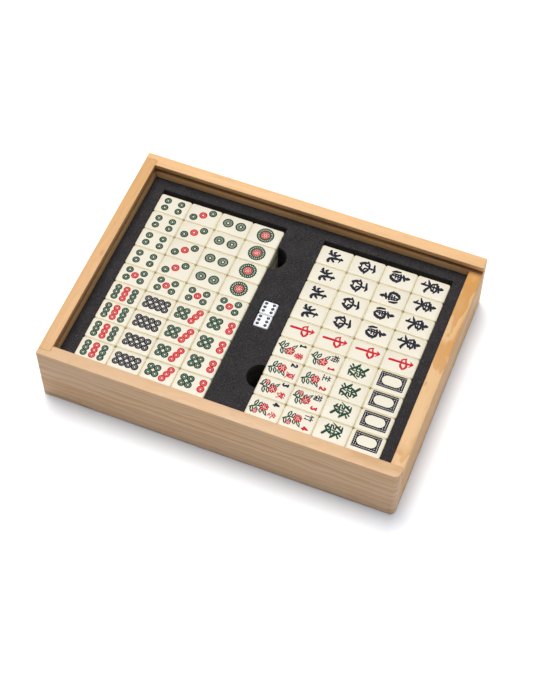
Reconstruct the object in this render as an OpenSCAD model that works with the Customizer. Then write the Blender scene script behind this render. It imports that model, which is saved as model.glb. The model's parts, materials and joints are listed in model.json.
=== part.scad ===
// Mahjong case: an open wooden box with a foam insert. Two blocks of tiles
// lie in it two layers deep, with a pair of dice between the blocks.
// X runs along the box, with the low end wall at +X, and Y from front to back.
// The origin is the middle of the underside.

/* [Tiles] */
// Length of a tile, along X as it lies
tile_l = 30; // [24:0.1:38]
// Width of a tile, along Y as it lies
tile_w = 20.9; // [16:0.1:28]
// Thickness of a tile
tile_t = 17.5; // [12:0.1:22]
// Gap between neighbouring tiles
tile_gap = 0.1; // [0.05:0.05:0.5]
// Radius of a tile's four upright corners
tile_corner_r = 2; // [0.6:0.1:3]
// Radius along the edges of a tile's two faces
tile_edge_r = 1.3; // [0.4:0.1:2]

/* [Dice] */
// Side of a die
die_s = 14; // [10:0.5:18]
// Radius of a die's edges and corners
die_r = 1.6; // [0.5:0.1:2.5]
// Radius of a pip at the face
pip_r = 1.3; // [0.6:0.1:1.5]
// Depth of a pip
pip_d = 0.5; // [0.2:0.05:0.6]
// Distance of a pip's column from the face's middle
pip_column = 3.65; // [2:0.05:4]
// Distance of a pip's row from the face's middle
pip_row = 4; // [3:0.05:4.5]
// Gap around the dice in their pocket and between them
die_fit = 0.25; // [0.1:0.05:1]
// Middle of the dice, from the middle of the bridge between the blocks
die_x = -1.3; // [-4:0.1:4]
// Middle of the dice, from the middle of the box's width
die_y = 0.8; // [-20:0.1:20]

/* [Foam insert] */
// Thickness of the pad under the tiles
pad_t = 8.5; // [3:0.5:15]
// Gap between the foam and the wooden walls
foam_fit = 0.3; // [0.1:0.05:1]
// Gap between a tile block and the foam beside and before it
tile_fit = 0.4; // [0.1:0.05:1]
// Free space behind each tile block, for lifting the first tile
spare_l = 5.4; // [4:0.1:15]
// Height that the tiles stand above the foam
tile_proud = 1; // [0.2:0.1:4]
// Foam between the left wall and the left pocket
left_rim = 13.65; // [6:0.05:30]
// Foam between the right pocket and the right wall
right_rim = 10.6; // [6:0.05:30]
// Foam between the front wall and the pockets
front_rim = 6.8; // [4:0.1:30]
// Foam between the pockets and the back wall
back_rim = 11.5; // [4:0.1:30]
// Foam bridge between the two pockets
bridge_w = 36.25; // [32:0.05:60]
// Radius of the half-round finger notches
notch_r = 12; // [8:0.5:14]
// Distance of the finger notches from the middle of the box's width
notch_y = 60.2; // [35:0.1:70]

/* [Wooden box] */
// Thickness of the front and back walls
side_t = 11.5; // [9:0.1:16]
// Thickness of the left wall
left_t = 11; // [8:0.1:16]
// Thickness of the low right wall
right_t = 12.1; // [8:0.1:16]
// Depth that the left wall's ends are let into the front and back walls
rabbet_d = 5.7; // [5:0.1:7]
// Radius of the front wall's outer corner at the right end
end_r = 5; // [1:0.1:9]
// Radius of the box's other three outer corners
wall_corner_r = 1; // [0.5:0.1:4]
// Thickness of the bottom panel
panel_t = 4; // [3:0.1:6]
// Height of the bottom panel above the walls' lower edge
panel_z = 3; // [1:0.1:8]
// Depth of the bottom panel's groove in each wall
panel_groove_d = 4; // [2:0.1:5]
// Gap around the bottom panel in its groove
panel_fit = 0.15; // [0.05:0.05:0.5]

/* [Lid groove] */
// Space between the tiles and the lid
lid_gap = 5.8; // [1:0.1:20]
// Height of the groove that a sliding lid runs in
lid_groove_h = 4; // [2:0.1:6]
// Depth of the lid groove in each wall
lid_groove_d = 4; // [2:0.1:5]
// Height of the lip above the lid groove
lid_lip_h = 5.2; // [3:0.1:10]

/* [Hidden] */
$fn = 48;
cut = 1; // overshoot of a cut past the face that it opens
alike = 4; // tiles of one kind, and columns in a block
layers = 2; // layers of tiles
rows = 2 * alike + 1; // rows in a block

// Tile blocks and pockets
pitch_x = tile_l + tile_gap;
pitch_y = tile_w + tile_gap;
pocket_w = alike * pitch_x - tile_gap + 2 * tile_fit;
pocket_l = rows * pitch_y - tile_gap + tile_fit + spare_l;

// Box, worked out from what lies in it
inner_l = left_rim + pocket_w + bridge_w + pocket_w + right_rim;
inner_w = front_rim + pocket_l + back_rim;
box_l = left_t + inner_l + right_t;
box_w = side_t + inner_w + side_t;
left_in = left_t - box_l / 2;
right_in = box_l / 2 - right_t;
left_pocket = left_in + left_rim;
right_pocket = right_in - right_rim - pocket_w;
pocket_y = front_rim - inner_w / 2;
rabbet_y = side_t - rabbet_d - box_w / 2; // front end of the left wall

// Heights
panel_top = panel_z + panel_t;
pad_top = panel_top + pad_t;
tile_top = pad_top + layers * tile_t;
foam_top = tile_top - tile_proud;
sheet_top = foam_top - die_s;
lid_z = tile_top + lid_gap;
box_h = lid_z + lid_groove_h + lid_lip_h;

// Dice
bridge_x = (left_pocket + pocket_w + right_pocket) / 2;
dice_x = bridge_x + die_x;
die_step = die_s + die_fit;
die_hole_l = 2 * die_s + 3 * die_fit;
pip_ball = (pip_r * pip_r + pip_d * pip_d) / (2 * pip_d);

// Kinds of tile, in the order of a block's places: the four columns behind
// the middle row, the middle row, and the four columns before it
places = 2 * alike + 1;
counts = [4, 3, 2, 1, 5, 9, 8, 7, 6];
upper_left = [for (n = counts) str("dots_", n)];
upper_right = ["north_wind", "west_wind", "south_wind", "east_wind", "red_dragon",
    "flowers", "seasons", "green_dragon", "white_dragon"];
lower_left = [for (n = counts) str("bamboo_", n)];
lower_right = [for (n = counts) str("characters_", n)];

wood = "burlywood";
foam = [0.23, 0.21, 0.22];
bone = [0.96, 0.93, 0.84];

// A rectangle about the origin with rounded corners
module rounded_rect(l, w, r) {
    square([l - 2 * r, w], center = true);
    square([l, w - 2 * r], center = true);
    for (x = [-1, 1], y = [-1, 1])
        translate([x * (l / 2 - r), y * (w / 2 - r)]) circle(r);
}

// A block about the origin with rounded upright corners and face edges
module rounded_block(l, w, h, corner_r, edge_r) {
    intersection() {
        linear_extrude(h, center = true) rounded_rect(l, w, corner_r);
        rotate([90, 0, 0]) linear_extrude(w + 2 * cut, center = true) rounded_rect(l, h, edge_r);
        rotate([90, 0, 90]) linear_extrude(l + 2 * cut, center = true) rounded_rect(w, h, edge_r);
    }
}

// One tile, by its column and row in the block whose pocket begins at x
module tile(x, layer, column, row) {
    translate([
        x + tile_fit + column * pitch_x + tile_l / 2,
        pocket_y + tile_fit + (rows - 1 - row) * pitch_y + tile_w / 2,
        pad_top + layer * tile_t + tile_t / 2
    ])
        rounded_block(tile_l, tile_w, tile_t, tile_corner_r, tile_edge_r);
}

// The four tiles of one kind. Rows count from the back of the box
module tile_group(x, layer, place) {
    color(bone)
        for (i = [0:alike - 1])
            if (place == alike) tile(x, layer, i, alike);
            else if (place < alike) tile(x, layer, place, i);
            else tile(x, layer, place - alike - 1, alike + 1 + i);
}

// Where a face of n pips has them, in columns and rows from its middle
function pip_places(n) = concat(
    n % 2 == 1 ? [[0, 0]] : [],
    n > 1 ? [[1, 1], [-1, -1]] : [],
    n > 3 ? [[1, -1], [-1, 1]] : [],
    n > 5 ? [[1, 0], [-1, 0]] : []);

// The pips of one face, sunk into the face at +Z of a die about the origin
module pips(n) {
    for (p = pip_places(n))
        translate([p.x * pip_column, p.y * pip_row, die_s / 2 + pip_ball - pip_d])
            sphere(pip_ball);
}

// A die about the origin, with six on top. Opposite faces add up to seven
module die() {
    color(bone) difference() {
        rounded_block(die_s, die_s, die_s, die_r, die_r);
        pips(6);
        rotate([180, 0, 0]) pips(1);
        rotate([90, 0, 0]) pips(5);
        rotate([-90, 0, 0]) pips(2);
        rotate([0, 90, 0]) pips(4);
        rotate([0, -90, 0]) pips(3);
    }
}

// side is -1 for the die in front and 1 for the one behind it
module placed_die(side) {
    translate([dice_x, die_y + side * die_step / 2, sheet_top + die_s / 2]) die();
}

// The waste outside a rounded corner at +X and -Y of a circle about the origin
module corner_waste(r) {
    difference() {
        translate([0, -r - cut]) square([r + cut, r + cut]);
        circle(r);
    }
}

// Plan of the front wall: full length, with the left wall's rabbet in its inner side
module long_wall_plan(right_r) {
    difference() {
        translate([-box_l / 2, -box_w / 2]) square([box_l, side_t]);
        translate([-box_l / 2 - cut, rabbet_y]) square([left_t + cut, side_t]);
        translate([box_l / 2 - right_r, right_r - box_w / 2]) corner_waste(right_r);
        translate([wall_corner_r - box_l / 2, wall_corner_r - box_w / 2])
            mirror([1, 0]) corner_waste(wall_corner_r);
    }
}

// Front wall, with the grooves for the lid and for the bottom panel. The lid
// groove is open at the right end, and the panel groove stops short of it
module long_wall(right_r) {
    difference() {
        linear_extrude(box_h) long_wall_plan(right_r);
        translate([-box_l / 2 - cut, side_t - lid_groove_d - box_w / 2, lid_z])
            cube([box_l + 2 * cut, lid_groove_d + cut, lid_groove_h]);
        translate([-box_l / 2 - cut, side_t - panel_groove_d - box_w / 2, panel_z])
            cube([box_l - right_t + panel_groove_d + cut, panel_groove_d + cut, panel_t]);
    }
}

module front_wall() {
    color(wood) long_wall(end_r);
}

module back_wall() {
    color(wood) mirror([0, 1, 0]) long_wall(wall_corner_r);
}

module left_wall() {
    color(wood) difference() {
        translate([-box_l / 2, rabbet_y, 0]) cube([left_t, -2 * rabbet_y, box_h]);
        translate([left_in - lid_groove_d, rabbet_y - cut, lid_z])
            cube([lid_groove_d + cut, 2 * cut - 2 * rabbet_y, lid_groove_h]);
        translate([left_in - panel_groove_d, rabbet_y - cut, panel_z])
            cube([panel_groove_d + cut, 2 * cut - 2 * rabbet_y, panel_t]);
    }
}

// The low end wall, which the lid slides out over
module right_wall() {
    color(wood) difference() {
        translate([right_in, -inner_w / 2, 0]) cube([right_t, inner_w, lid_z]);
        translate([right_in - cut, -inner_w / 2 - cut, panel_z])
            cube([panel_groove_d + cut, inner_w + 2 * cut, panel_t]);
    }
}

module bottom_panel() {
    reach = panel_groove_d - panel_fit;
    color(wood)
        translate([left_in - reach, -inner_w / 2 - reach, panel_z])
            cube([inner_l + 2 * reach, inner_w + 2 * reach, panel_t]);
}

// Outline of the foam, which fills the box between its walls
module foam_outline() {
    translate([left_in + foam_fit, foam_fit - inner_w / 2])
        square([inner_l - 2 * foam_fit, inner_w - 2 * foam_fit]);
}

// A foam sheet's plan: both pockets, each with a finger notch in its inner side
module sheet_plan() {
    difference() {
        foam_outline();
        for (x = [left_pocket, right_pocket])
            translate([x, pocket_y]) square([pocket_w, pocket_l]);
        translate([left_pocket + pocket_w, notch_y]) circle(notch_r);
        translate([right_pocket, -notch_y]) circle(notch_r);
    }
}

module foam_base_pad() {
    color(foam) translate([0, 0, panel_top]) linear_extrude(pad_t) foam_outline();
}

module foam_lower_sheet() {
    color(foam) translate([0, 0, pad_top]) linear_extrude(sheet_top - pad_top) sheet_plan();
}

// The upper sheet is as thick as a die, so that the dice lie flush on the lower one
module foam_upper_sheet() {
    color(foam) translate([0, 0, sheet_top]) linear_extrude(die_s) difference() {
        sheet_plan();
        translate([dice_x, die_y]) square([die_s + 2 * die_fit, die_hole_l], center = true);
    }
}

front_wall();
back_wall();
left_wall();
right_wall();
bottom_panel();
foam_base_pad();
foam_lower_sheet();
foam_upper_sheet();
placed_die(-1);  // front_die
placed_die(1);  // back_die
for (place = [0:places - 1]) {
    tile_group(left_pocket, 1, place);
    tile_group(right_pocket, 1, place);
    tile_group(left_pocket, 0, place);
    tile_group(right_pocket, 0, place);
}
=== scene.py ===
import json
import math

import bmesh
import bpy
from mathutils import Matrix, Vector
from mathutils.geometry import delaunay_2d_cdt


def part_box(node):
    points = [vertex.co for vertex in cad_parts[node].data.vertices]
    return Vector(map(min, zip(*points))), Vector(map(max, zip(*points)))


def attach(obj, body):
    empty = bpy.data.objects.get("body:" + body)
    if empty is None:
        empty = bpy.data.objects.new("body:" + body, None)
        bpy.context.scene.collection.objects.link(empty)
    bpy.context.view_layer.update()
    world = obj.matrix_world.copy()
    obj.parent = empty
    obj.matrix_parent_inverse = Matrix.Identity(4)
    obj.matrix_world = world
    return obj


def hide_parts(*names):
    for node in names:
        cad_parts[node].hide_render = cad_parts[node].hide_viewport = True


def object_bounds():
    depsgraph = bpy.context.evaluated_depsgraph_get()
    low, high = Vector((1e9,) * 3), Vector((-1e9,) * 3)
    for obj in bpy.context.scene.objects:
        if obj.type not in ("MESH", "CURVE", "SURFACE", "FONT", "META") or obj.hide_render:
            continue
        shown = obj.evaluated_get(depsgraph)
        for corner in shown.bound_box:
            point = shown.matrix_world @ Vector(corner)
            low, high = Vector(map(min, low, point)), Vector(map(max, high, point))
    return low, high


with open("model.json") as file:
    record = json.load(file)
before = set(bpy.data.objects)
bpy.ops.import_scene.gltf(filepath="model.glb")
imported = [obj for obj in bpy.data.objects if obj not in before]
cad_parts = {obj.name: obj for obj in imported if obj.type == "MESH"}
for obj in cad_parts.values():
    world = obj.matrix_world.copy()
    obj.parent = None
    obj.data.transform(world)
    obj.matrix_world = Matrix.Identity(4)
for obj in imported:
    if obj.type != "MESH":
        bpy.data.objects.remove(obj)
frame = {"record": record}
cad_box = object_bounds()
bpy.ops.object.select_all(action="DESELECT")

MM = 0.001
MM_IN_A_METRE = 1000
bodies = frame["record"]["behaviour"]["bodies"]
case = next(body for body, nodes in bodies.items() if "front_wall" in nodes)

# The camera looks down on the case from its front, a little to the right,
# through a long lens, as a catalogue photograph does.

CAMERA_AZIMUTH = math.radians(21.79)
CAMERA_ELEVATION = math.radians(57.13)
CAMERA_DISTANCE = 1.443
CAMERA_TARGET = Vector((0.00487, -0.0025, 0))
LENS_MM = 107.43
SENSOR_MM = 36
SEES_FROM, SEES_TO = 0.05, 100

towards_camera = Vector((
    math.sin(CAMERA_AZIMUTH) * math.cos(CAMERA_ELEVATION),
    -math.cos(CAMERA_AZIMUTH) * math.cos(CAMERA_ELEVATION),
    math.sin(CAMERA_ELEVATION),
))
camera_data = bpy.data.cameras.new("camera")
camera_data.sensor_fit = "HORIZONTAL"
camera_data.sensor_width = SENSOR_MM
camera_data.lens = LENS_MM
camera_data.clip_start = SEES_FROM
camera_data.clip_end = SEES_TO
camera = bpy.data.objects.new("camera", camera_data)
camera.location = CAMERA_TARGET + towards_camera * CAMERA_DISTANCE
camera.rotation_euler = (math.pi / 2 - CAMERA_ELEVATION, 0, CAMERA_AZIMUTH)
bpy.context.collection.objects.link(camera)
bpy.context.scene.camera = camera

# The case lies on a wide sheet of white paper. The main light is soft and
# comes from over its back left corner, and a broad cool panel in the ceiling
# fills the shadows. A weak light stands to the right. The room itself is dim,
# but the camera sees it as white as the paper.

PAPER_SIZE = 60
PAPER_BELOW = 0.2 * MM
PAPER_WHITE = (0.945, 0.955, 0.965, 1)
ROOM_COLOUR = (0.86, 0.91, 1.0, 1)
PANEL_STRENGTH = 2.25
WALLS_STRENGTH = 0.03
PANEL_FROM, PANEL_FULL = 0.78, 0.92
BACKDROP_STRENGTH = 1.2

bpy.ops.mesh.primitive_plane_add(size=PAPER_SIZE, location=(0, 0, -PAPER_BELOW))
paper = bpy.context.object
paper.name = "paper"
bpy.ops.object.transform_apply(location=True)
paper_finish = bpy.data.materials.new("white_paper")
paper_finish.use_nodes = True
paper_shader = paper_finish.node_tree.nodes["Principled BSDF"]
paper_shader.inputs["Base Color"].default_value = PAPER_WHITE
paper_shader.inputs["Roughness"].default_value = 0.9
paper.data.materials.append(paper_finish)

for name, strength, colour, degrees_wide, comes_from in (
    ("main_light", 2.55, (1.0, 0.955, 0.90), 30, (-0.2, 0.24, 1.0)),
    ("side_light", 0.35, (0.70, 0.85, 1.0), 60, (1.0, 0.05, 0.45)),
):
    light_data = bpy.data.lights.new(name, "SUN")
    light_data.energy = strength
    light_data.color = colour
    light_data.angle = math.radians(degrees_wide)
    light = bpy.data.objects.new(name, light_data)
    light.rotation_euler = Vector(comes_from).to_track_quat("Z", "Y").to_euler()
    bpy.context.collection.objects.link(light)

room = bpy.data.worlds.new("room")
room.use_nodes = True
background = room.node_tree.nodes["Background"]
background.inputs["Color"].default_value = ROOM_COLOUR
room_nodes, room_links = room.node_tree.nodes, room.node_tree.links
direction = room_nodes.new("ShaderNodeTexCoord")
split = room_nodes.new("ShaderNodeSeparateXYZ")
panel = room_nodes.new("ShaderNodeMapRange")
panel.interpolation_type = "SMOOTHSTEP"
for key, level in (
    ("From Min", PANEL_FROM), ("From Max", PANEL_FULL),
    ("To Min", WALLS_STRENGTH), ("To Max", PANEL_STRENGTH),
):
    panel.inputs[key].default_value = level
rays = room_nodes.new("ShaderNodeLightPath")
backdrop = room_nodes.new("ShaderNodeMath")
backdrop.operation = "MULTIPLY_ADD"
backdrop.inputs[1].default_value = BACKDROP_STRENGTH
room_links.new(direction.outputs["Object"], split.inputs["Vector"])
room_links.new(split.outputs["Z"], panel.inputs["Value"])
room_links.new(rays.outputs["Is Camera Ray"], backdrop.inputs[0])
room_links.new(panel.outputs["Result"], backdrop.inputs[2])
room_links.new(backdrop.outputs[0], background.inputs["Strength"])
bpy.context.scene.world = room
bpy.context.scene.view_settings.view_transform = "Standard"

# The walls are planks of solid pale wood, sanded and oiled. The short left
# wall is let into rabbets in the long ones, and a lid groove runs inside
# three walls. The right wall ends below the groove, so that a lid slides out.

LID_GROOVE_HEIGHT = 4 * MM
LID_GROOVE_DEPTH = 4 * MM
PANEL_GROOVE_DEPTH = 4 * MM
FRONT_CORNER_RADIUS = 5 * MM
WALL_CORNER_RADIUS = 1 * MM
EASED_EDGE = 0.5 * MM
CUT = 1 * MM
SAME_PLACE = 0.01 * MM
OBJECT_OUTPUT = 3


class Value:
    """A number that changes over a surface: Python's operators on it add Math nodes."""

    def __init__(self, finish, socket):
        self.finish = finish
        self.socket = socket

    def math(self, operation, *values):
        return self.finish.node("ShaderNodeMath", {"operation": operation}, values)

    def __add__(self, other):
        return self.math("ADD", self, other)

    def __sub__(self, other):
        return self.math("SUBTRACT", self, other)

    def __rsub__(self, other):
        return self.math("SUBTRACT", other, self)

    def __mul__(self, other):
        return self.math("MULTIPLY", self, other)

    __radd__ = __add__
    __rmul__ = __mul__


class Finish:
    """A material, with short ways to add and join its nodes."""

    def __init__(self, name):
        self.material = bpy.data.materials.new(name)
        self.material.use_nodes = True
        self.tree = self.material.node_tree
        self.shader = self.tree.nodes["Principled BSDF"]

    def node(self, kind, settings, values, output=0):
        """Adds a node, with its settings first and then its sockets' values or links."""
        made = self.tree.nodes.new(kind)
        for name, setting in settings.items():
            setattr(made, name, setting)
        for key, value in values.items() if isinstance(values, dict) else enumerate(values):
            self.feed(made.inputs[key], value)
        return Value(self, made.outputs[output])

    def feed(self, socket, value):
        if isinstance(value, Value):
            self.tree.links.new(value.socket, socket)
        else:
            socket.default_value = value

    def surface(self, **values):
        for name, value in values.items():
            self.feed(self.shader.inputs[name.replace("_", " ").title()], value)

    def place(self, scale=(1, 1, 1), turn=0, shift=(0, 0, 0)):
        """Object coordinates in millimetres, turned about Z and shifted."""
        metres = self.node("ShaderNodeTexCoord", {}, (), OBJECT_OUTPUT)
        size = tuple(MM_IN_A_METRE * each for each in scale)
        return self.node("ShaderNodeMapping", {}, {
            "Vector": metres, "Location": shift, "Rotation": (0, 0, turn), "Scale": size})

    def stretch(self, vector, scale):
        return self.node("ShaderNodeMapping", {}, {"Vector": vector, "Scale": scale})

    def noise(self, vector, scale=1.0, detail=2.0, roughness=0.5):
        return self.node("ShaderNodeTexNoise", {}, {
            "Vector": vector, "Scale": scale, "Detail": detail, "Roughness": roughness})

    def step(self, value, start, end):
        """0 below start and 1 above end."""
        return self.node("ShaderNodeMapRange", {"interpolation_type": "SMOOTHSTEP"}, {
            "Value": value, "From Min": start, "From Max": end})

    def mix(self, factor, a, b):
        """A colour between a and b. The Mix node's sockets for colours are 6, 7 and 2."""
        return self.node("ShaderNodeMix", {"data_type": "RGBA"}, {0: factor, 6: a, 7: b}, 2)

    def bump(self, height, distance, strength):
        return self.node("ShaderNodeBump", {}, {
            "Height": height, "Distance": distance, "Strength": strength})


ALONG_Y = -math.pi / 2
LATE_WOOD = (0.50, 0.275, 0.11, 1)
AMBER_WOOD = (0.63, 0.32, 0.09, 1)
PORE_BROWN = (0.29, 0.145, 0.057, 1)
KNOT_BROWN = (0.42, 0.17, 0.04, 1)
KNOT_SQUASH = 0.4


def wood(
    name, pale, heart, turn=0, lean=0.0, warmth=0.5, figure=0.4,
    deep=LATE_WOOD, knot=None, rings=0.16,
):
    """Plain-sawn wood. heart is where the tree's middle lies, in millimetres across
    and up from the frame's origin, and lean is how far it rises along the grain.
    warmth is how much amber there is, figure is how strong the rings are, and rings
    is their number in a millimetre. A knot has its place along X and Y."""
    finish = Finish(name)
    place = finish.place(turn=turn, shift=(0, -heart[0], -heart[1]))
    along, across, up = [finish.node("ShaderNodeSeparateXYZ", {}, [place], axis) for axis in range(3)]
    wander = finish.noise(finish.stretch(place, (0.006, 0.02, 0.02)), detail=1.0)
    ripple = finish.noise(finish.stretch(place, (0.02, 0.045, 0.045)), detail=3.0, roughness=0.55)
    across = across + (wander - 0.5) * 18
    up = up + (ripple - 0.5) * 13 + along * lean
    ray = finish.node("ShaderNodeCombineXYZ", {}, [0.0, across, up])
    radius = finish.node("ShaderNodeVectorMath", {"operation": "LENGTH"}, [ray], 1)
    years = finish.noise(finish.node("ShaderNodeCombineXYZ", {}, [radius * 0.13, 0.0, 0.0]), detail=2.0)
    ring = finish.node("ShaderNodeMath", {"operation": "FRACT"}, [radius * rings + years * 20 * rings])
    late = finish.step(ring, 0.1, 0.9) * (1 - finish.step(ring, 0.9, 1.0))
    fibre = finish.noise(finish.stretch(place, (0.03, 1.5, 1.5)), detail=3.0, roughness=0.65)
    pores = finish.step(finish.noise(finish.stretch(place, (0.085, 3.0, 3.0)), detail=1.0), 0.62, 0.74)
    cloud = finish.noise(finish.stretch(place, (0.009, 0.03, 0.03)), detail=2.0)
    strength = finish.step(cloud, 0.25, 0.7) * 0.5 + 0.5
    colour = finish.mix(late * strength * figure + (fibre - 0.5) * 0.55, pale, deep)
    colour = finish.mix(finish.step(cloud, 0.42, 0.72) * warmth, colour, AMBER_WOOD)
    colour = finish.mix(pores * 0.2, colour, PORE_BROWN)
    if knot:
        from_knot = finish.place(
            scale=(1, KNOT_SQUASH, 0), shift=(-knot[0], -knot[1] * KNOT_SQUASH, 0))
        reach = finish.node("ShaderNodeVectorMath", {"operation": "LENGTH"}, [from_knot], 1)
        colour = finish.mix((1 - finish.step(reach, 0.2, 2.2)) * 0.6, colour, KNOT_BROWN)
    height = late * -0.25 + fibre * 0.5 + pores * -0.6
    finish.surface(base_color=colour, roughness=fibre * 0.22 + 0.42 + pores * 0.1,
                   normal=finish.bump(height, 0.00012, 0.6))
    return finish.material


def block(low, high, name):
    """A box between two corners, which every plank and cutter starts as."""
    bpy.ops.mesh.primitive_cube_add(size=1, location=(low + high) / 2)
    made = bpy.context.object
    made.name = name
    made.scale = high - low
    bpy.ops.object.transform_apply(location=True, scale=True)
    return made


def cut_away(piece, cutter):
    """Cuts the cutter's shape out of the piece, and removes the cutter."""
    modifier = piece.modifiers.new("cut", "BOOLEAN")
    modifier.operation = "DIFFERENCE"
    modifier.solver = "EXACT"
    modifier.object = cutter
    bpy.context.view_layer.objects.active = piece
    bpy.ops.object.modifier_apply(modifier="cut")
    bpy.data.objects.remove(cutter)


def ease_edges(piece, width, segments=2):
    """Takes the sharpness off every edge."""
    modifier = piece.modifiers.new("eased", "BEVEL")
    modifier.width = width
    modifier.segments = segments
    modifier.limit_method = "ANGLE"
    modifier.angle_limit = math.radians(40)
    bpy.context.view_layer.objects.active = piece
    bpy.ops.object.modifier_apply(modifier="eased")


def round_edges(piece, radius, segments, chosen):
    """Rounds the edges of a new piece whose two ends pass the test."""
    bpy.ops.object.mode_set(mode="EDIT")
    bpy.ops.mesh.select_all(action="DESELECT")
    bpy.ops.object.mode_set(mode="OBJECT")
    for edge in piece.data.edges:
        edge.select = chosen(*(piece.data.vertices[index].co for index in edge.vertices))
    bpy.ops.object.mode_set(mode="EDIT")
    bpy.ops.mesh.select_mode(type="EDGE")
    bpy.ops.mesh.bevel(offset=radius, segments=segments, affect="EDGES")
    bpy.ops.object.mode_set(mode="OBJECT")


def settle(piece, node, body, slot, *materials):
    """Smooths the piece, gives it its materials and puts it in the node's place."""
    for material in materials:
        piece.data.materials.append(material)
    bpy.ops.object.select_all(action="DESELECT")
    piece.select_set(True)
    bpy.context.view_layer.objects.active = piece
    bpy.ops.object.shade_smooth_by_angle(angle=math.radians(30))
    bpy.ops.object.select_all(action="DESELECT")
    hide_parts(node)
    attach(piece, body)


box_low, box_high = cad_box
left_low, left_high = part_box("left_wall")
right_low, right_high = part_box("right_wall")
panel_low, panel_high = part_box("bottom_panel")
lid_z = right_high.z
lid_top = lid_z + LID_GROOVE_HEIGHT
inside_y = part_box("front_wall")[1].y
rabbet_depth = abs(inside_y - left_low.y)
# The lid groove's faces get a darker wood: painted shade in the groove's hollow.
painted_groove_shade = wood("painted_groove_shade", (0.40, 0.185, 0.08, 1), (60, 20))


def paint_groove_shade(wall, low, high):
    """Gives the faces of the lid groove, which lie inside the wall's corners, the second
    material: a darker wood colour, painted shade for the hollow of the groove."""
    for face in wall.data.polygons:
        x, y, z = face.center
        if (low.x + EASED_EDGE < x < high.x - EASED_EDGE
                and low.y + EASED_EDGE < y < high.y - EASED_EDGE
                and lid_z - EASED_EDGE < z < lid_top + EASED_EDGE):
            face.material_index = 1


def long_wall(side, name, right_radius, finish):
    """side is -1 for the front wall and 1 for the back one."""
    outer, inner = side * box_high.y, -side * inside_y
    y0, y1 = sorted((outer, inner))
    low, high = Vector((box_low.x, y0, 0)), Vector((box_high.x, y1, box_high.z))
    wall = block(low, high, name)
    for x, radius, segments in ((box_high.x, right_radius, 8), (box_low.x, WALL_CORNER_RADIUS, 3)):
        corner = Vector((x, outer))
        round_edges(wall, radius, segments, lambda *ends: all(
            (end.xy - corner).length < SAME_PLACE for end in ends))

    def groove(x0, x1, depth, z0, z1):
        ys = sorted((inner - side * CUT, inner + side * depth))
        cut_away(wall, block(Vector((x0, ys[0], z0)), Vector((x1, ys[1], z1)), "cutter"))

    groove(box_low.x - CUT, left_high.x, rabbet_depth, -CUT, box_high.z + CUT)
    groove(left_high.x - CUT, box_high.x + CUT, LID_GROOVE_DEPTH, lid_z, lid_top)
    groove(left_high.x - CUT, right_low.x + PANEL_GROOVE_DEPTH, PANEL_GROOVE_DEPTH,
           panel_low.z, panel_high.z)
    paint_groove_shade(wall, low, high)
    ease_edges(wall, EASED_EDGE)
    settle(wall, name, case, "wood", finish, painted_groove_shade)


front_wood = wood(
    "front_wood", (0.61, 0.40, 0.23, 1), (-104, -120), lean=0.01, warmth=0.2, figure=0.95,
    deep=(0.44, 0.245, 0.105, 1), rings=0.12)
long_wall(-1, "front_wall", FRONT_CORNER_RADIUS, front_wood)
back_wood = wood("back_wood", (0.71, 0.42, 0.185, 1), (140, 20), lean=0.02, figure=0.3)
long_wall(1, "back_wall", WALL_CORNER_RADIUS, back_wood)

left_wall = block(left_low, left_high, "left_wall")
for depth, z0, z1 in (
    (LID_GROOVE_DEPTH, lid_z, lid_top),
    (PANEL_GROOVE_DEPTH, panel_low.z, panel_high.z),
):
    cut_away(left_wall, block(
        Vector((left_high.x - depth, left_low.y - CUT, z0)),
        Vector((left_high.x + CUT, left_high.y + CUT, z1)), "cutter"))
paint_groove_shade(left_wall, left_low, left_high)
ease_edges(left_wall, EASED_EDGE)
left_wood = wood(
    "left_wood", (0.605, 0.34, 0.14, 1), (110, -10), turn=ALONG_Y, lean=0.02, figure=0.5,
    knot=(-155.0, -2.0))
settle(left_wall, "left_wall", case, "wood", left_wood, painted_groove_shade)

right_wall = block(right_low, right_high, "right_wall")
cut_away(right_wall, block(
    Vector((right_low.x - CUT, right_low.y - CUT, panel_low.z)),
    Vector((right_low.x + PANEL_GROOVE_DEPTH, right_high.y + CUT, panel_high.z)), "cutter"))
ease_edges(right_wall, EASED_EDGE)
right_wood = wood(
    "right_wood", (0.605, 0.37, 0.165, 1), (-157, 44), turn=ALONG_Y, lean=-0.08, warmth=0.6,
    figure=1.25, deep=(0.50, 0.235, 0.055, 1))
settle(right_wall, "right_wall", case, "wood", right_wood)

# The bottom panel is a thin board, slid into a groove in each wall before the
# last wall is glued on.

PANEL_EDGE = 0.3 * MM

bottom_panel = block(panel_low, panel_high, "bottom_panel")
ease_edges(bottom_panel, PANEL_EDGE)
panel_wood = wood(
    "panel_wood", (0.66, 0.45, 0.26, 1), (60, -90), lean=0.03, warmth=0.2, figure=0.5)
settle(bottom_panel, "bottom_panel", case, "panel_wood", panel_wood)

# The insert is charcoal foam, cut right through in two sheets and laid on a
# plain pad. Both pockets have a finger notch, and the upper sheet is also cut
# out for the dice.

FOAM_DARK, FOAM_PALE = (0.0100, 0.0088, 0.0094, 1), (0.0355, 0.031, 0.0335, 1)
FOAM_BLOTCH, FOAM_FLECK = (0.044, 0.039, 0.041, 1), (0.115, 0.105, 0.112, 1)
FOAM_EDGE = 0.6 * MM
POCKET_SIDE_GAP = 0.4 * MM
POCKET_SPARE = 5.4 * MM
NOTCH_RADIUS = 12 * MM
NOTCH_SIDES = 48
NOTCH_Y = 60.2 * MM
DIE_GAP = 0.25 * MM


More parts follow.
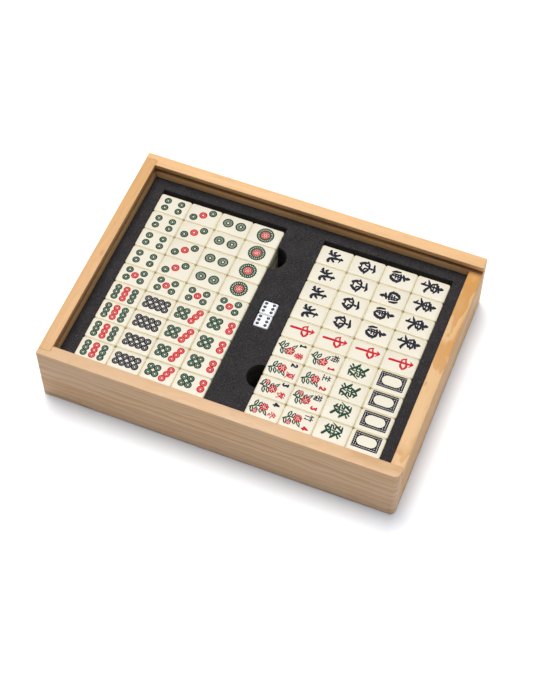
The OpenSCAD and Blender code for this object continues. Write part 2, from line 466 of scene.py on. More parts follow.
def foam_finish():
    """Charcoal foam of fine open cells, a little blotchy, with pale flecks."""
    finish = Finish("charcoal_foam")
    place = finish.place()
    cells = finish.node("ShaderNodeTexVoronoi", {"feature": "F1"}, {"Vector": place, "Scale": 0.8})
    grit = finish.noise(place, 0.75, 3.0, 0.75)
    blotch = finish.noise(place, 0.06, 3.0, 0.6)
    colour = finish.mix(finish.step(grit, 0.36, 0.66), FOAM_DARK, FOAM_PALE)
    colour = finish.mix(finish.step(blotch, 0.4, 0.7) * 0.3, colour, FOAM_BLOTCH)
    flecks = finish.step(finish.noise(place, 0.9, 1.0), 0.66, 0.76)
    colour = finish.mix(flecks * 0.5, colour, FOAM_FLECK)
    finish.surface(base_color=colour, roughness=grit * 0.1 + 0.86,
                   normal=finish.bump(cells * 0.6 + grit * 0.8, 0.0004, 0.9))
    finish.shader.inputs["Specular IOR Level"].default_value = 0.25
    return finish.material


charcoal_foam = foam_finish()
upper_tiles_low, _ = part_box("dots_9")
_, left_block_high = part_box("dots_1")
right_block_low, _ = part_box("flowers")
_, right_block_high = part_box("east_wind")
dice_low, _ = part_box("front_die")
_, dice_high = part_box("back_die")
pocket_front = upper_tiles_low.y - POCKET_SIDE_GAP
pocket_back = left_block_high.y + POCKET_SPARE
left_pocket = (upper_tiles_low.x - POCKET_SIDE_GAP, left_block_high.x + POCKET_SIDE_GAP)
right_pocket = (right_block_low.x - POCKET_SIDE_GAP, right_block_high.x + POCKET_SIDE_GAP)


def foam_piece(node, openings=()):
    """A pad, or a sheet with openings right through it and the two finger notches."""
    low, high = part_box(node)
    foam = block(low, high, node)
    for x0, y0, x1, y1 in openings:
        cut_away(foam, block(Vector((x0, y0, low.z - CUT)), Vector((x1, y1, high.z + CUT)), "cutter"))
    if openings:
        for x, y in ((left_pocket[1], NOTCH_Y), (right_pocket[0], -NOTCH_Y)):
            bpy.ops.mesh.primitive_cylinder_add(
                vertices=NOTCH_SIDES, radius=NOTCH_RADIUS, depth=high.z - low.z + 2 * CUT,
                location=(x, y, (low.z + high.z) / 2))
            cut_away(foam, bpy.context.object)
    ease_edges(foam, FOAM_EDGE, 3)
    settle(foam, node, case, "foam", charcoal_foam)


pockets = [(x0, pocket_front, x1, pocket_back) for x0, x1 in (left_pocket, right_pocket)]
dice_opening = (
    dice_low.x - DIE_GAP, dice_low.y - DIE_GAP, dice_high.x + DIE_GAP, dice_high.y + DIE_GAP)
foam_piece("foam_base_pad")
foam_piece("foam_lower_sheet", pockets)
foam_piece("foam_upper_sheet", pockets + [dice_opening])

# The dice are white plastic with round edges. Their pips are shallow round
# hollows painted black, and opposite faces add up to seven.

DIE_EDGE = 1.6 * MM
DIE_MARGIN = 0.05 * MM
HAIR = 0.001 * MM
PIP_RADIUS = 1.6 * MM
PIP_DEPTH = 0.5 * MM
PIP_COLUMN = 3.65 * MM
PIP_ROW = 4 * MM
DIE_FACES = {
    6: ("X", 0), 1: ("X", math.pi), 5: ("X", math.pi / 2), 2: ("X", -math.pi / 2),
    4: ("Y", math.pi / 2), 3: ("Y", -math.pi / 2),
}


def plastic(name, colour, deep, roughness):
    """Dense glossy plastic whose colour drifts a little."""
    finish = Finish(name)
    place = finish.place()
    drift = finish.noise(place, 0.05, 2.0)
    marks = finish.noise(place, 0.9, 3.0, 0.6)
    finish.surface(base_color=finish.mix(finish.step(drift, 0.3, 0.7), colour, deep),
                   roughness=marks * 0.12 + roughness, normal=finish.bump(marks, 0.00001, 0.1))
    return finish.material


die_white = plastic("die_white", (0.71, 0.72, 0.75, 1), (0.68, 0.69, 0.71, 1), 0.2)
pip_black = plastic("pip_black", (0.012, 0.012, 0.014, 1), (0.02, 0.02, 0.022, 1), 0.35)


def pip_places(count):
    """The pips of one face, in columns and rows from its middle."""
    places = [(0, 0)] if count % 2 else []
    if count > 1:
        places += [(1, 1), (-1, -1)]
    if count > 3:
        places += [(1, -1), (-1, 1)]
    if count > 5:
        places += [(1, 0), (-1, 0)]
    return places


def make_die(node):
    """Each pip is cut by a ball. Its faces are told by their place: they lie just under
    one side, while those of a round edge lie near two."""
    low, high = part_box(node)
    centre, half = (low + high) / 2, (high.x - low.x) / 2
    die = block(low, high, node)
    ease_edges(die, DIE_EDGE, 4)
    ball = (PIP_RADIUS**2 + PIP_DEPTH**2) / (2 * PIP_DEPTH)
    for count, (axis, turn) in DIE_FACES.items():
        for column, row in pip_places(count):
            spot = Vector((column * PIP_COLUMN, row * PIP_ROW, half + ball - PIP_DEPTH))
            spot.rotate(Matrix.Rotation(turn, 3, axis))
            bpy.ops.mesh.primitive_ico_sphere_add(subdivisions=3, radius=ball, location=centre + spot)
            drill = bpy.context.object
            bpy.ops.object.transform_apply(location=True)
            cut_away(die, drill)
    for face in die.data.polygons:
        reach = [abs(each) for each in face.center - centre]
        near_sides = sum(each > half - DIE_EDGE - DIE_MARGIN for each in reach)
        face.material_index = 1 if max(reach) < half - HAIR and near_sides == 1 else 0
    settle(die, node, node, "die", die_white, pip_black)


make_die("front_die")
make_die("back_die")

# The tiles are blocks of cream plastic with round corners. Each face is
# engraved, and the cuts are filled with green, red or dark blue paint. Their
# sizes are in millimetres, up to where they are laid in their places.

TILE_GAP = 0.1
TILE_CORNER = 2.0
TILE_EDGE = 1.3
ENGRAVED = 0.22
MERGED = 0.0001
BARE, GREEN, RED, DARK = range(4)
FACE_CREAM, FACE_CREAM_DEEP = (0.62, 0.575, 0.46, 1), (0.605, 0.56, 0.45, 1)
# The sides' brighter, yellower cream is painted bounce light from the neighbouring tiles.
SIDE_PAINTED_BOUNCE, SIDE_PAINTED_BOUNCE_DEEP = (0.84, 0.75, 0.46, 1), (0.82, 0.73, 0.45, 1)
column_low, column_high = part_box("dots_4")
TILE_L, column_w, TILE_T = (MM_IN_A_METRE * each for each in column_high - column_low)
TILE_W = (column_w + TILE_GAP) / 4 - TILE_GAP


def tile_plastic():
    """Cream plastic, yellower and brighter down the sides: painted bounce light, as the neighbours throw
    their colour on it.
    """
    finish = Finish("cream_plastic")
    place = finish.place()
    layer = finish.node("ShaderNodeSeparateXYZ", {}, [place], 2)
    above = layer - MM_IN_A_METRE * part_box("bamboo_4")[0].z
    depth = TILE_T - finish.node("ShaderNodeMath", {"operation": "MODULO"}, [above - 0.01, TILE_T])
    drift = finish.noise(place, 0.03, 2.0)
    marks = finish.noise(place, 0.7, 3.0, 0.6)
    face = finish.mix(finish.step(drift, 0.35, 0.65), FACE_CREAM, FACE_CREAM_DEEP)
    side = finish.mix(finish.step(drift, 0.35, 0.65), SIDE_PAINTED_BOUNCE, SIDE_PAINTED_BOUNCE_DEEP)
    # Below the top, the face's cream gives way to the sides' painted bounce light.
    colour = finish.mix(finish.step(depth, 0.03, 0.9), face, side)
    finish.surface(base_color=colour, roughness=marks * 0.14 + 0.38,
                   normal=finish.bump(marks, 0.00001, 0.1))
    return finish.material


def paint(name, colour):
    """Matt paint, wiped into the engraving, so it is a little uneven."""
    finish = Finish(name)
    patchy = finish.noise(finish.place(), 1.3, 3.0, 0.6)
    thin = tuple(0.95 * each + 0.008 for each in colour[:3]) + (1,)
    finish.surface(base_color=finish.mix(finish.step(patchy, 0.5, 0.85) * 0.8, colour, thin),
                   roughness=patchy * 0.2 + 0.5, normal=finish.bump(patchy, 0.00004, 0.4))
    finish.shader.inputs["Specular IOR Level"].default_value = 0.15
    return finish.material


tile_materials = [
    tile_plastic(),
    paint("green_paint", (0.006, 0.045, 0.021, 1)),
    paint("red_paint", (0.48, 0.008, 0.020, 1)),
    paint("dark_paint", (0.008, 0.009, 0.021, 1)),
]
turned_round = Matrix.Rotation(math.pi, 3, "Z")


def make_blank():
    """A tile about the origin with nothing engraved, in millimetres."""
    half = Vector((TILE_L, TILE_W, TILE_T)) / 2
    blank = block(-half, half, "blank")
    round_edges(blank, TILE_CORNER, 4, lambda one, other: abs(one.z - other.z) > TILE_T / 2)
    round_edges(blank, TILE_EDGE, 3, lambda one, other: abs(one.z - other.z) < MERGED)
    return blank


blank = make_blank()


def anticlockwise(points):
    """The outline, turned over if it runs clockwise."""
    area = sum(a[0] * b[1] - b[0] * a[1] for a, b in zip(points, points[1:] + points[:1]))
    return points if area > 0 else points[::-1]


def engrave(name, design):
    """A mesh of the blank with the design's shapes in its upper face. A later shape
    covers an earlier one, and a bare shape leaves the face as it was. The paint fills
    the cuts to the brim: its faces stay, and a copy of them is sunk as the cuts' floor."""
    shape = bmesh.new()
    shape.from_mesh(blank.data)
    top = max(shape.faces, key=lambda face: face.calc_center_median().z)
    rim = [tuple(vertex.co.xy) for vertex in top.verts]
    loops = [anticlockwise(rim)] + [anticlockwise(points) for _, points in design]
    flat, indices = [], []
    for loop in loops:
        indices.append(list(range(len(flat), len(flat) + len(loop))))
        flat += [Vector(point) for point in loop]
    places, _, triangles, _, _, owners = delaunay_2d_cdt(flat, [], indices, 1, 1e-5)
    bmesh.ops.delete(shape, geom=[top], context="FACES_ONLY")
    corners = [shape.verts.new((*place, TILE_T / 2)) for place in places]
    for triangle, owner in zip(triangles, owners):
        face = shape.faces.new([corners[index] for index in triangle])
        face.material_index = design[max(owner) - 1][0] if max(owner) else BARE
    bmesh.ops.remove_doubles(shape, verts=shape.verts, dist=MERGED)
    shape.normal_update()
    flat_faces = [
        face for face in shape.faces if face.normal.z > 0.999 and face.calc_center_median().z > 0]
    shape.verts.index_update()
    shape.edges.index_update()
    # the dissolve follows the order it is given, and a set's order changes from run to run
    bmesh.ops.dissolve_limit(
        shape, angle_limit=0.02, use_dissolve_boundaries=False, delimit={"MATERIAL"},
        verts=sorted({item for face in flat_faces for item in face.verts}, key=lambda item: item.index),
        edges=sorted({item for face in flat_faces for item in face.edges}, key=lambda item: item.index))
    painted = [face for face in shape.faces if face.material_index != BARE]
    made = bmesh.ops.extrude_face_region(shape, geom=painted)["geom"]
    sunk = [item for item in made if isinstance(item, bmesh.types.BMVert)]
    bmesh.ops.translate(shape, verts=sunk, vec=(0, 0, -ENGRAVED))
    mesh = bpy.data.meshes.new(name)
    shape.to_mesh(mesh)
    shape.free()
    return mesh


def lay_tiles(node, designs, turned=()):
    """Four tiles in the node's place, in a row or a column from the back. designs
    has one design for all, or one for each, and turned ones lie the other way round."""
    low, high = (MM_IN_A_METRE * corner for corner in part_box(node))
    in_row = high.x - low.x > high.y - low.y
    group = bmesh.new()
    meshes = [engrave(f"{node}_face", design) for design in designs]
    for index in range(4):
        part = bmesh.new()
        part.from_mesh(meshes[index % len(meshes)])
        if index in turned:
            bmesh.ops.rotate(part, verts=part.verts, matrix=turned_round, cent=(0, 0, 0))
        column, row = (index, 0) if in_row else (0, index)
        middle = Vector((
            low.x + TILE_L / 2 + column * (TILE_L + TILE_GAP),
            high.y - TILE_W / 2 - row * (TILE_W + TILE_GAP),
            (low.z + high.z) / 2))
        bmesh.ops.translate(part, verts=part.verts, vec=middle)
        bmesh.ops.scale(part, verts=part.verts, vec=(MM, MM, MM))
        placed = bpy.data.meshes.new("placed")
        part.to_mesh(placed)
        group.from_mesh(placed)
        part.free()
        bpy.data.meshes.remove(placed)
    mesh = bpy.data.meshes.new(node)
    group.to_mesh(mesh)
    group.free()
    tiles = bpy.data.objects.new(node, mesh)
    bpy.context.collection.objects.link(tiles)
    for each in meshes:
        bpy.data.meshes.remove(each)
    settle(tiles, node, node, "tile", *tile_materials)


# The dot tiles show round coins, in green, red or dark paint. Each has a broad
# rim, one or two thin bare rings and a square hole. The one is a large green
# coin with a lobed rim and a flower in its red middle.

DISC_SIDES = 20
PEN_SIDES = 5
SMALL_COIN = 4
SMALL_RINGS = (0.60, 0.56, 0.28)
LARGE_RINGS = (0.70, 0.655, 0.50, 0.455, 0.24)


def length_of_stroke(colour, x0, y0, r0, x1, y1, r1):
    """A tapered length with round ends."""
    heading = math.atan2(y1 - y0, x1 - x0)
    points = []
    for x, y, radius, start in (
        (x0, y0, r0, heading + math.pi / 2), (x1, y1, r1, heading - math.pi / 2),
    ):
        for i in range(PEN_SIDES + 1):
            turn = start + math.pi * i / PEN_SIDES
            points.append((x + radius * math.cos(turn), y + radius * math.sin(turn)))
    return (colour, points)


def around(x, y, radius, count):
    """Points in even steps on a circle."""
    turn = 2 * math.pi / count
    return [(x + radius * math.cos(turn * i), y + radius * math.sin(turn * i)) for i in range(count)]


def disc(colour, x, y, radius, sides=DISC_SIDES):
    return (colour, around(x, y, radius, sides))


def coin(colour, x, y, radius):
    """The rings run inwards, bare and painted in turn, to the square hole."""
    rings, sides = (SMALL_RINGS, 14) if radius < SMALL_COIN else (LARGE_RINGS, DISC_SIDES)
    design = [disc(colour, x, y, radius)]
    for i, ring in enumerate(rings[:-1]):
        design.append(disc(colour if i % 2 else BARE, x, y, ring * radius, sides))
    return design + [disc(BARE, x, y, rings[-1] * radius, 4)]


def large_coin(x, y):
    """Twenty lobes, with a bare slot in each, around a red middle with eight petals."""
    lobes, petals = 20, 8
    design = [disc(GREEN, x, y, 7.85, 40)]
    design += [disc(GREEN, *place, 0.75, 8) for place in around(x, y, 7.5, lobes)]
    for near, far in zip(around(x, y, 5.6, lobes), around(x, y, 6.35, lobes)):
        design.append(length_of_stroke(BARE, *near, 0.26, *far, 0.37))
    design += [disc(BARE, x, y, 4.0, 28), disc(RED, x, y, 3.85, 28)]
    design += [disc(BARE, *place, 0.48, 8) for place in around(x, y, 2.5, petals)]
    return design + [disc(BARE, x, y, 1.35, 12), disc(RED, x, y, 0.8, 8)]


def coins(places):
    """Coins from their colours, places and radii."""
    return [shape for colour, x, y, radius in places for shape in coin(colour, x, y, radius)]


dots = {
    1: large_coin(0.3, 0.4),
    2: coins([(GREEN, x, 0.8, 4.95) for x in (-6.1, 6.2)]),
    3: coins([(GREEN, -8.1, -4.2, 3.75), (RED, -0.4, 0.5, 3.75), (GREEN, 7.3, 5.3, 3.75)]),
    4: coins([(GREEN, x, y, 3.45) for x in (-6.5, 6.8) for y in (-4.1, 4.1)]),
    5: coins([(GREEN, x, y, 3.45) for x in (-7.0, 6.6) for y in (-3.5, 5.1)] + [(RED, -0.3, 0.8, 3.5)]),
    6: coins([(GREEN, x, y, 3.4) for x in (-8.1, -2.0) for y in (4.0, -2.4)]
             + [(RED, 9.6, y, 3.5) for y in (4.0, -2.5)]),
    7: coins([(GREEN, x, y, 3.35) for x in (-8.6, -2.5) for y in (3.5, -2.8)]
             + [(RED, 9.1, 5.7, 3.35), (RED, 7.0, 0.6, 3.35), (RED, 4.8, -4.5, 3.35)]),
    8: coins([(DARK, 5.95 * (i - 1.5), y + 0.4, 3.35) for i in range(4) for y in (-3.28, 3.28)]),
    9: coins([(colour, x, y, 3.2) for x, colour in ((-8.3, GREEN), (-0.3, RED), (7.6, GREEN))
              for y in (-5.15, 0, 5.15)]),
}
for count, design in dots.items():
    lay_tiles(f"dots_{count}", [design])

# The wind and dragon tiles carry one traditional character each, written
# with a brush: every stroke is a chain of tapered lengths. The white dragon
# is an empty frame. Most characters read from the box's left end, and a few
# tiles lie the other way round.


def written(colour, strokes, height, width, pen, up=0.0, right=0.0):
    """A character of that height and width. Its strokes' points are in hundredths, from
    the lower left, a third number is how hard the brush is pressed there, and the
    character's top points along the tile."""
    shapes = []
    for stroke in strokes:
        points = [
            (up + (v / 100 - 0.5) * height, -right - (u / 100 - 0.5) * width)
            for u, v, *_ in stroke]
        radii = [pen * (press[0] / 100 if press else 1) for _, _, *press in stroke]
        for i in range(len(points) - 1):
            shapes.append(length_of_stroke(colour, *points[i], radii[i], *points[i + 1], radii[i + 1]))
    return shapes


EAST = [
    [(32, 88, 35), (41, 98, 80), (52, 88, 45)], [(41, 98, 80), (42, 87, 75), (43, 47, 75), (43, 4, 85)],
    [(20, 75, 40), (43, 79, 65), (68, 84, 75)], [(12, 67, 60), (45, 72, 60), (66, 72, 80), (85, 64, 40)],
    [(15, 66, 65), (24, 50, 75), (38, 44, 50)], [(73, 67, 75), (70, 54, 85), (52, 45, 50)],
    [(28, 57, 40), (62, 59, 45)], [(41, 42, 70), (24, 34, 95), (1, 25, 30)],
    [(47, 42, 70), (69, 30, 90), (86, 25, 100), (99, 27, 35)], [(20, 17, 30), (32, 14, 60), (42, 9, 60)]]
SOUTH = [
    [(31, 90, 45), (39, 99, 75), (53, 86, 35)], [(39, 97, 75), (41, 86, 70), (39, 72, 60), (38, 61, 55)],
    [(20, 66, 45), (42, 73, 80), (65, 79, 55)], [(3, 46, 55), (7, 22, 80), (16, 8, 60)],
    [(22, 52, 60), (48, 58, 65), (73, 55, 90), (99, 43, 35)],
    [(82, 50, 80), (87, 30, 95), (74, 11, 95), (54, 2, 60)], [(45, 50, 50), (45, 12, 50)],
    [(28, 44, 50), (29, 20, 55)], [(30, 40, 40), (63, 44, 45)], [(30, 27, 40), (63, 30, 45)],
    [(33, 12, 55), (47, 7, 60)]]
WEST = [
    [(17, 86, 55), (37, 90, 70), (60, 96, 90), (74, 90, 45)], [(51, 78, 80), (48, 64, 60)],
    [(1, 43, 30), (14, 42, 70), (18, 24, 95), (31, 5, 100)],
    [(2, 43, 40), (24, 56, 70), (49, 61, 60), (70, 54, 80), (84, 45, 90), (99, 42, 35)],
    [(87, 43, 80), (80, 26, 100), (62, 4, 80)], [(32, 9, 70), (48, 14, 45), (64, 9, 60)],
    [(39, 57, 55), (34, 38, 50), (28, 30, 55)], [(55, 55, 55), (58, 36, 60), (69, 34, 50)]]
NORTH = [
    [(45, 89, 55), (55, 97, 75)], [(57, 86, 55), (70, 83, 50), (83, 80, 30)],
    [(55, 97, 80), (56, 80, 85), (57, 60, 90), (61, 32, 105), (71, 16, 105), (85, 11, 105), (97, 15, 95)],
    [(63, 30, 60), (77, 37, 85), (89, 49, 70)], [(18, 70, 75), (30, 55, 85), (37, 33, 95), (32, 2, 60)],
    [(3, 42, 60), (13, 33, 85), (32, 41, 55)], [(1, 9, 75), (12, 8, 100), (37, 26, 55)],
    [(35, 36, 50), (46, 50, 60), (57, 62, 50)]]
RED_DRAGON = [
    [(22, 88, 45), (36, 99, 65), (62, 87, 40)], [(38, 97, 80), (43, 70, 85), (42, 46, 95), (44, 2, 100)],
    [(1, 67, 40), (22, 67, 60), (42, 73, 60), (66, 77, 90), (86, 71, 80), (100, 64, 25)],
    [(7, 66, 55), (14, 56, 65), (24, 50, 65)], [(24, 51, 55), (51, 53, 50), (60, 51, 60)],
    [(93, 65, 75), (78, 55, 95), (60, 50, 70)]]
GREEN_DRAGON = [
    [(14, 94, 55), (38, 95, 95), (24, 70, 95), (1, 35, 25)], [(12, 80, 60), (22, 72, 80)],
    [(45, 99, 60), (58, 84, 100), (72, 66, 110), (88, 53, 115), (99, 48, 35)],
    [(70, 99, 75), (60, 87, 50)], [(85, 90, 85), (70, 78, 50)],
    [(21, 59, 60), (39, 60, 75), (37, 48, 60), (20, 45, 60), (17, 33, 60), (38, 34, 80),
     (33, 10, 100), (18, 17, 60)],
    [(50, 84, 60), (47, 68, 60)], [(50, 60, 70), (48, 45, 55)],
    [(50, 60, 60), (66, 61, 80), (66, 47, 70), (77, 46, 50)],
    [(44, 37, 60), (69, 38, 85), (58, 20, 90), (36, 1, 55)], [(47, 30, 60), (60, 17, 110), (82, 1, 115)]]

south, south_turned = [
    written(DARK, SOUTH, 17.2, 12.4, 1.6, 0.35, right) for right in (-0.95, 0.2)]
dragon, dragon_turned = [
    written(GREEN, GREEN_DRAGON, 15.6, 15.6, 1.05, 0.3, right) for right in (-1.3, 0.6)]
lay_tiles("east_wind", [written(DARK, EAST, 20.2, 14.8, 1.35, 0.2, -1.25)])
lay_tiles("south_wind", [south, south_turned, south, south], turned=(1,))
lay_tiles("west_wind", [written(DARK, WEST, 15.2, 14.4, 1.45, 0.45, -0.45)])
lay_tiles("north_wind", [written(DARK, NORTH, 14.2, 12.6, 1.35, 0.4, -0.5)])
lay_tiles("red_dragon", [written(RED, RED_DRAGON, 21.2, 12.4, 1.2, 0.6, -1.0)])
lay_tiles("green_dragon", [dragon_turned, dragon_turned, dragon, dragon], turned=(0, 1))

FRAME_L, FRAME_W, FRAME_CORNER = 23.2, 15.6, 0.7
OPENING_L, OPENING_W, OPENING_CORNER = 17.4, 9.4, 4.6
FRAME_SHIFT = 1.65
DASH_IN = 1.5
DASH_PITCH = 2.05
DASH_LONG, DASH_SLANT, DASH_PEN = 0.66, 0.3, 0.18
ALONG_LENGTH, ALONG_WIDTH = range(-5, 6), range(-2, 3)
SPOT = 0.42
SIGNS = (-1, 1)


def round_rect(colour, length, width, corner):
    """A rectangle along the tile, with round corners."""
    points = []
    for quarter, (sx, sy) in enumerate(((1, 1), (-1, 1), (-1, -1), (1, -1))):
        for i in range(5):
            turn = math.pi / 2 * (quarter + i / 4)
            points.append((
                sx * (length / 2 - corner) + corner * math.cos(turn),
                sy * (width / 2 - corner) + corner * math.sin(turn) + FRAME_SHIFT))
    return (colour, points)


def rope_frame():
    """A broad band with a row of slanted bare dashes along it, like a twisted rope, and
    a bare spot at each corner of its opening."""
    design = [
        round_rect(DARK, FRAME_L, FRAME_W, FRAME_CORNER),
        round_rect(BARE, OPENING_L, OPENING_W, OPENING_CORNER)]

    def dash(x, y, dx, dy):
        design.append(length_of_stroke(BARE, x - dx, y - dy, DASH_PEN, x + dx, y + dy, DASH_PEN))

    for side in SIGNS:
        for i in ALONG_LENGTH:
            dash(i * DASH_PITCH, side * (FRAME_W / 2 - DASH_IN) + FRAME_SHIFT, DASH_LONG, DASH_SLANT)
        for i in ALONG_WIDTH:
            dash(side * (FRAME_L / 2 - DASH_IN), i * DASH_PITCH + FRAME_SHIFT, DASH_SLANT, -DASH_LONG)
    for sx in SIGNS:
        for sy in SIGNS:
            x, y = sx * (OPENING_L / 2 - 0.5), sy * (OPENING_W / 2 - 0.3) + FRAME_SHIFT
            design.append(disc(BARE, x, y, SPOT, 6))
    return design


lay_tiles("white_dragon", [rope_frame()])

# The flower and season tiles are numbered one to four and carry the sign of a
# season or a plant. Each has a plain blossom on a leafy stem, with more petals
# from one tile to the next, and the last two of each kind have a smaller one.

LEAF_STEPS = 6
STEM_BENDS = (-2.4, 1.8, -1.0, 2.4)
BLOSSOM, SMALL_BLOSSOM = 4.2, 2.4
DIGITS = [
    [[(30, 76), (54, 94), (54, 6)], [(34, 6), (76, 6)]],
    [[(20, 76), (32, 92), (62, 92), (78, 76), (70, 52), (20, 8), (84, 8)]],
    [[(22, 90), (76, 90), (46, 58), (72, 46), (76, 24), (56, 8), (20, 14)]],
    [[(64, 4), (64, 94), (14, 32), (90, 32)]],
]
SEASON_SIGNS = [
    [[(10, 88), (90, 88)], [(16, 72), (84, 72)], [(2, 56), (98, 56)], [(52, 100), (46, 54), (6, 22)],
     [(56, 54), (96, 26)], [(32, 38), (32, 0)], [(32, 38), (72, 38), (72, 0)], [(32, 19), (72, 19)],
     [(32, 1), (72, 1)]],
    [[(4, 96), (96, 96)], [(50, 96), (44, 82)], [(22, 80), (22, 40)], [(22, 80), (78, 80), (78, 40)],
     [(22, 60), (78, 60)], [(22, 42), (78, 42)], [(44, 38), (10, 18)],
     [(32, 28), (74, 28), (50, 10), (4, 0)], [(38, 20), (98, 0)]],
    [[(46, 98), (14, 86)], [(2, 70), (52, 70)], [(28, 88), (28, 0)], [(26, 66), (2, 32)],
     [(30, 64), (50, 44)], [(60, 74), (54, 54)], [(98, 80), (82, 56)], [(75, 98), (72, 50), (46, 2)],
     [(75, 46), (100, 2)]],
    [[(42, 100), (10, 62)], [(34, 88), (78, 88), (50, 58), (2, 36)], [(30, 74), (60, 54), (100, 40)],
     [(38, 34), (62, 22)], [(28, 16), (70, 0)]],
]
PLANT_SIGNS = [
    [[(0, 72), (44, 72)], [(23, 100), (23, 0)], [(22, 68), (2, 34)], [(26, 62), (42, 46)],
     [(62, 100), (48, 78)], [(56, 88), (98, 88)], [(60, 70), (54, 14), (92, 14)],
     [(60, 70), (94, 70), (88, 0)], [(46, 42), (102, 42)]],
    [[(28, 100), (40, 82)], [(72, 100), (60, 82)], [(8, 74), (92, 74)], [(22, 42), (78, 42)],
     [(2, 6), (98, 6)], [(50, 74), (50, 6)]],
    [[(4, 88), (96, 88)], [(32, 100), (32, 78)], [(68, 100), (68, 78)], [(34, 74), (8, 46)],
     [(26, 64), (92, 64), (88, 4), (72, 8)], [(24, 34), (78, 34)], [(50, 58), (50, 4)],
     [(46, 30), (24, 12)], [(54, 30), (76, 14)]],
    [[(22, 100), (4, 64)], [(14, 80), (46, 80)], [(30, 78), (30, 0)], [(68, 100), (52, 64)],
     [(60, 80), (98, 80)], [(80, 80), (80, 2), (66, 8)]],
]


def leaf(colour, x0, y0, x1, y1, width, vein=0.0):
    """A pointed leaf between two points, with a bare vein where one is wanted."""
    dx, dy = x1 - x0, y1 - y0
    points = []
    for side, steps in ((1, range(LEAF_STEPS)), (-1, range(LEAF_STEPS, 0, -1))):
        for i in steps:
            bulge = side * width * math.sin(math.pi * i / LEAF_STEPS) / math.hypot(dx, dy)
            points.append((
                x0 + dx * i / LEAF_STEPS - dy * bulge, y0 + dy * i / LEAF_STEPS + dx * bulge))
    blade = [(colour, points)]
    if vein:
        blade += leaf(BARE, x0 + 0.2 * dx, y0 + 0.2 * dy, x0 + 0.8 * dx, y0 + 0.8 * dy, vein)
    return blade


def blossom(x, y, count, length):
    """Red petals, each with a dark edge and a bare vein, around a red ring, a bare one
    and a dark heart."""
    turn = 2 * math.pi / count
    width = 2.9 * length / 4.6 * 4 / count + 0.5
    shapes = []
    for i in range(count):
        tip = (x + length * math.cos(turn * i + 0.3), y + length * math.sin(turn * i + 0.3))
        shapes += leaf(DARK, x, y, *tip, width) + leaf(RED, x, y, *tip, width - 0.3, 0.32)
    return shapes + [
        disc(RED, x, y, 0.36 * length, 12), disc(BARE, x, y, 0.26 * length, 10),
        disc(DARK, x, y, 0.15 * length, 8)]


def plant(number, number_colour, number_right, sign, sign_colour, sign_right):
    """A stem with leaves and a blossom, under the tile's number and its sign."""
    sway = STEM_BENDS[number - 1]
    path = [(-12.6, -sway, 0.75), (-8.0, 0.3 * sway, 0.6), (-2.5, 0.6 * sway, 0.5)]
    shapes = [length_of_stroke(GREEN, *start, *end) for start, end in zip(path, path[1:])]
    for i in range(4 + number // 2):
        x, side = -11.4 + 1.9 * i, 1 if (i + number) % 2 else -1
        shapes += leaf(GREEN, x, 0, x + 3.4 - 0.4 * number, side * (7.4 - 0.5 * i), 1.7, 0.45)
    shapes += leaf(GREEN, -2.0, 0.4 * sway, 3.6, -6.6 if sway > 0 else 6.8, 1.5, 0.4)
    shapes += blossom(-0.9, 0.6 * sway, 4 + number, BLOSSOM)
    if number > 2:
        shapes += blossom(-7.2, 5.0 if number == 3 else -4.8, 5, SMALL_BLOSSOM)
    shapes += written(number_colour, DIGITS[number - 1], 5.5, 3.8, 0.8, 8.0, number_right)
    return shapes + written(sign_colour, sign, 7.0, 6.2, 0.46, 7.8, sign_right)


lay_tiles("flowers", [
    plant(number, DARK, -6.9, sign, RED, 3.9) for number, sign in enumerate(SEASON_SIGNS, start=1)])
lay_tiles("seasons", [
    plant(number, RED, 5.7, sign, DARK, -5.2) for number, sign in enumerate(PLANT_SIGNS, start=1)])

# The bamboo tiles lie in the lower layer. They show bamboo canes with a
# joint half way, and the one shows a young shoot.

CANE_PEN, CANE_RING_PEN = 0.62, 0.42
CANE_RING = 0.85


def cane(colour, x, y, length, lean=0.0):
    """A cane of two lengths along the tile, its ends and joint wider than its stems."""
    dx, dy = length / 4 * math.cos(lean), length / 4 * math.sin(lean)
    px, py = -math.sin(lean) * CANE_RING, math.cos(lean) * CANE_RING
    shapes = []
    for side in SIGNS:
        near, far = ((x + side * at * dx, y + side * at * dy, CANE_PEN) for at in (0.35, 1.75))
        shapes.append(length_of_stroke(colour, *near, *far))
    for at in (-2, 0, 2):
        cx, cy = x + at * dx, y + at * dy
        shapes.append(length_of_stroke(
            colour, cx - px, cy - py, CANE_RING_PEN, cx + px, cy + py, CANE_RING_PEN))
    return shapes


def canes(places, length):
    """Canes from their colours, places and leans."""
    return [shape for colour, x, y, lean in places for shape in cane(colour, x, y, length, lean)]


def shoot():
    """A stem with six leaves, a red tip and a red root."""
    design = [length_of_stroke(GREEN, -10, 0, 0.9, 2, 0, 0.6)]
    for i, x in enumerate((-8, -4.5, -1)):
        for side in SIGNS:
            design += leaf(GREEN, x, 0, x + 7, side * (6.5 - i), 1.4, 0.35)
    tip, root = leaf(RED, 2, 0, 11, 0, 1.6, 0.4), disc(RED, -10, 0, 1.5, 12)
    return design + tip + [root, disc(BARE, -10, 0, 0.8, 10)]


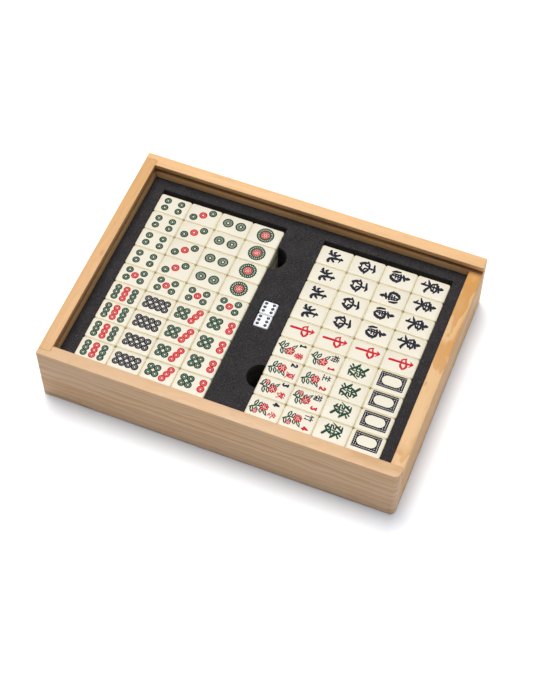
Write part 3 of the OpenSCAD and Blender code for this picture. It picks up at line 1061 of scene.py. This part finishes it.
ROWS = (0.0, 5.4, -5.4)
bamboo = {
    1: shoot(),
    2: canes([(GREEN, 6.4, 0, 0), (GREEN, -6.4, 0, 0)], 9.5),
    3: canes([(GREEN, 6.4, 0, 0), (GREEN, -6.4, 4, 0), (GREEN, -6.4, -4, 0)], 9.5),
    4: canes([(GREEN, x, y, 0) for x in (-6.4, 6.4) for y in (-4, 4)], 9.5),
    5: canes([(GREEN, x, y, 0) for x in (-6.4, 6.4) for y in (-5.2, 5.2)] + [(RED, 0, 0, 0)], 9.5),
    6: canes([(GREEN, x, y, 0) for x in (-6.4, 6.4) for y in ROWS], 9.5),
    7: canes([(RED, 8.4, 0, 0)] + [(GREEN, x, y, 0) for x in (-8.4, 0) for y in ROWS], 6.6),
    8: canes([(GREEN, x, y, 0) for x in (-6.2, 6.2) for y in (-6.6, 6.6)]
             + [(GREEN, sx * 6.2, sy * 2.3, sx * sy * 0.42) for sx in SIGNS for sy in SIGNS], 9),
    9: canes([(RED if y == 0 else GREEN, x, y, 0) for x in (-8.4, 0, 8.4) for y in ROWS], 6.6),
}
for count, design in bamboo.items():
    lay_tiles(f"bamboo_{count}", [design])

# The character tiles lie in the lower layer. A dark numeral stands over the
# red sign for ten thousand.

NUMERALS = {
    1: [[(4, 50), (96, 54)]],
    2: [[(20, 78), (80, 80)], [(4, 24), (96, 26)]],
    3: [[(16, 88), (84, 90)], [(24, 52), (76, 54)], [(4, 12), (96, 14)]],
    4: [[(12, 84), (16, 8)], [(12, 84), (88, 84), (84, 8)], [(16, 14), (84, 14)],
        [(38, 80), (36, 54), (24, 36)], [(62, 80), (62, 46), (78, 40)]],
    5: [[(14, 92), (86, 92)], [(48, 92), (36, 8)], [(22, 56), (74, 56), (72, 8)], [(2, 8), (98, 8)]],
    6: [[(46, 100), (54, 86)], [(4, 70), (96, 70)], [(36, 52), (10, 6)], [(62, 52), (90, 6)]],
    7: [[(4, 52), (94, 66)], [(46, 98), (46, 20), (58, 8), (90, 8), (92, 26)]],
    8: [[(38, 86), (30, 42), (4, 6)], [(56, 92), (68, 42), (98, 6)]],
    9: [[(44, 98), (40, 50), (8, 4)], [(10, 68), (68, 70), (66, 20), (76, 8), (94, 8), (95, 26)]],
}
TEN_THOUSAND = [
    [(8, 90), (92, 90)], [(34, 100), (34, 80)], [(66, 100), (66, 80)], [(28, 74), (28, 50)],
    [(28, 74), (73, 74), (72, 50)], [(28, 62), (72, 62)], [(28, 50), (72, 50)], [(50, 74), (50, 16)],
    [(12, 38), (12, 0)], [(12, 38), (88, 38), (88, 2), (76, 6)], [(30, 16), (68, 20)], [(66, 30), (74, 14)]]
NUMERAL_HEIGHTS = {1: 1.0, 2: 3.6, 3: 6.4}
TALL_NUMERAL = 8.4
ten_thousand = written(RED, TEN_THOUSAND, 13, 13, 0.6, up=-5.4)
for count, strokes in NUMERALS.items():
    height = NUMERAL_HEIGHTS.get(count, TALL_NUMERAL)
    numeral = written(DARK, strokes, height, 12.5, 0.75, up=7.2)
    lay_tiles(f"characters_{count}", [numeral + ten_thousand])

bpy.data.objects.remove(blank)
